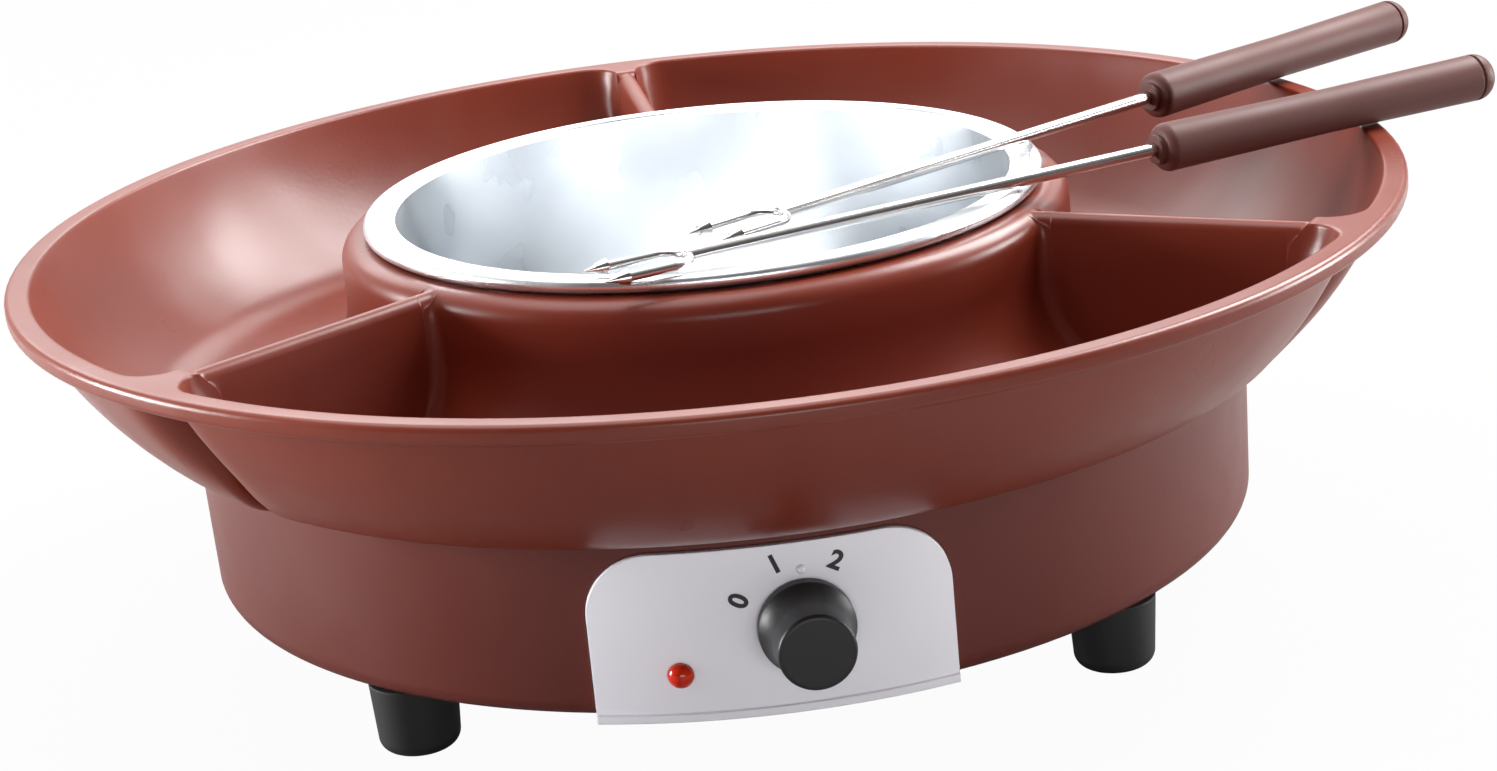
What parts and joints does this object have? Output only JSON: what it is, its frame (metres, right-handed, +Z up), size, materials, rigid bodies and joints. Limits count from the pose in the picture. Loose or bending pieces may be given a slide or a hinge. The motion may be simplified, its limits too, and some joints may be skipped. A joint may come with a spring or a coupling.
{
  "type": "electric_fondue_pot",
  "caption": "Electric fondue pot: three-compartment serving tray on a round heated base with a knob and indicator light, a metal melting pot in the centre and two fondue forks",
  "frame": {"origin": "the middle of the four feet's standing plane, on the axis of the base", "axes": "+Z up, -Y towards the control panel, +X to the right seen from the panel"},
  "size_m": [0.3282, 0.3, 0.0974],
  "materials": {
    "base_plastic": "reddish brown moulded plastic, satin gloss",
    "tray_plastic": "terracotta brown moulded plastic, satin gloss",
    "cover_plastic": "dark moulded plastic",
    "foot_rubber": "black rubber",
    "screw_steel": "zinc plated steel",
    "panel_plastic": "white satin plastic",
    "lens_red": "translucent red",
    "lamp_glass": "clear glass neon lamp",
    "switch_plastic": "black heat-proof plastic",
    "terminal_brass": "plain brass",
    "knob_plastic": "black plastic",
    "plate_aluminium": "cast, turned top",
    "element_steel": "heat-darkened steel tube",
    "ceramic": "off-white ceramic",
    "shield_aluminium": "pressed sheet",
    "pot_steel": "polished metal",
    "fork_steel": "polished stainless steel",
    "handle_plastic": "dark brown glossy plastic"
  },
  "bodies": {
    "base": {"base_housing": "base_plastic", "bottom_cover": "cover_plastic", "foot_front_left": "foot_rubber", "foot_front_right": "foot_rubber", "foot_rear_left": "foot_rubber", "foot_rear_right": "foot_rubber", "foot_screws": "screw_steel", "control_panel": "panel_plastic", "panel_screws": "screw_steel", "indicator_lens": "lens_red", "indicator_lamp": "lamp_glass", "lens_retainer": "screw_steel", "switch_body": "switch_plastic", "switch_nut": "screw_steel", "switch_terminals": "terminal_brass", "hot_plate": "plate_aluminium", "heating_element": "element_steel", "element_seals": "ceramic", "element_terminals": "screw_steel", "thermostat": "ceramic", "thermal_fuse": "ceramic", "fuse_clip": "screw_steel", "spacer_bushes": "ceramic", "plate_screws": "screw_steel", "heat_shield": "shield_aluminium", "shield_screws": "screw_steel", "terminal_block": "ceramic", "terminal_screws": "terminal_brass", "cord_gland": "knob_plastic"},
    "dial": {"knob": "knob_plastic", "knob_clip": "screw_steel", "switch_shaft": "screw_steel"},
    "tray": {"serving_tray": "tray_plastic"},
    "pot": {"melting_pot": "pot_steel"},
    "rear_fork": {"rear_fork_shaft": "fork_steel", "rear_fork_handle": "handle_plastic"},
    "front_fork": {"front_fork_shaft": "fork_steel", "front_fork_handle": "handle_plastic"}
  },
  "joints": [
    {"name": "tray_lift", "type": "slide", "parent": "base", "child": "tray", "axis": [0, 0, 1], "range_m": [0, 0.12]},
    {"name": "pot_lift", "type": "slide", "parent": "tray", "child": "pot", "axis": [0, 0, 1], "range_m": [0, 0.1]},
    {"name": "rear_fork_lift", "type": "slide", "parent": "pot", "child": "rear_fork", "axis": [0, 0, 1], "range_m": [0, 0.08]},
    {"name": "front_fork_lift", "type": "slide", "parent": "pot", "child": "front_fork", "axis": [0, 0, 1], "range_m": [0, 0.08]},
    {"name": "knob_turn", "type": "hinge", "parent": "base", "child": "dial", "pos_m": [0.00606, -0.11564, 0.0324], "axis": [-0.0523, 0.9986, 0], "range_deg": [0, 90]}
  ]
}
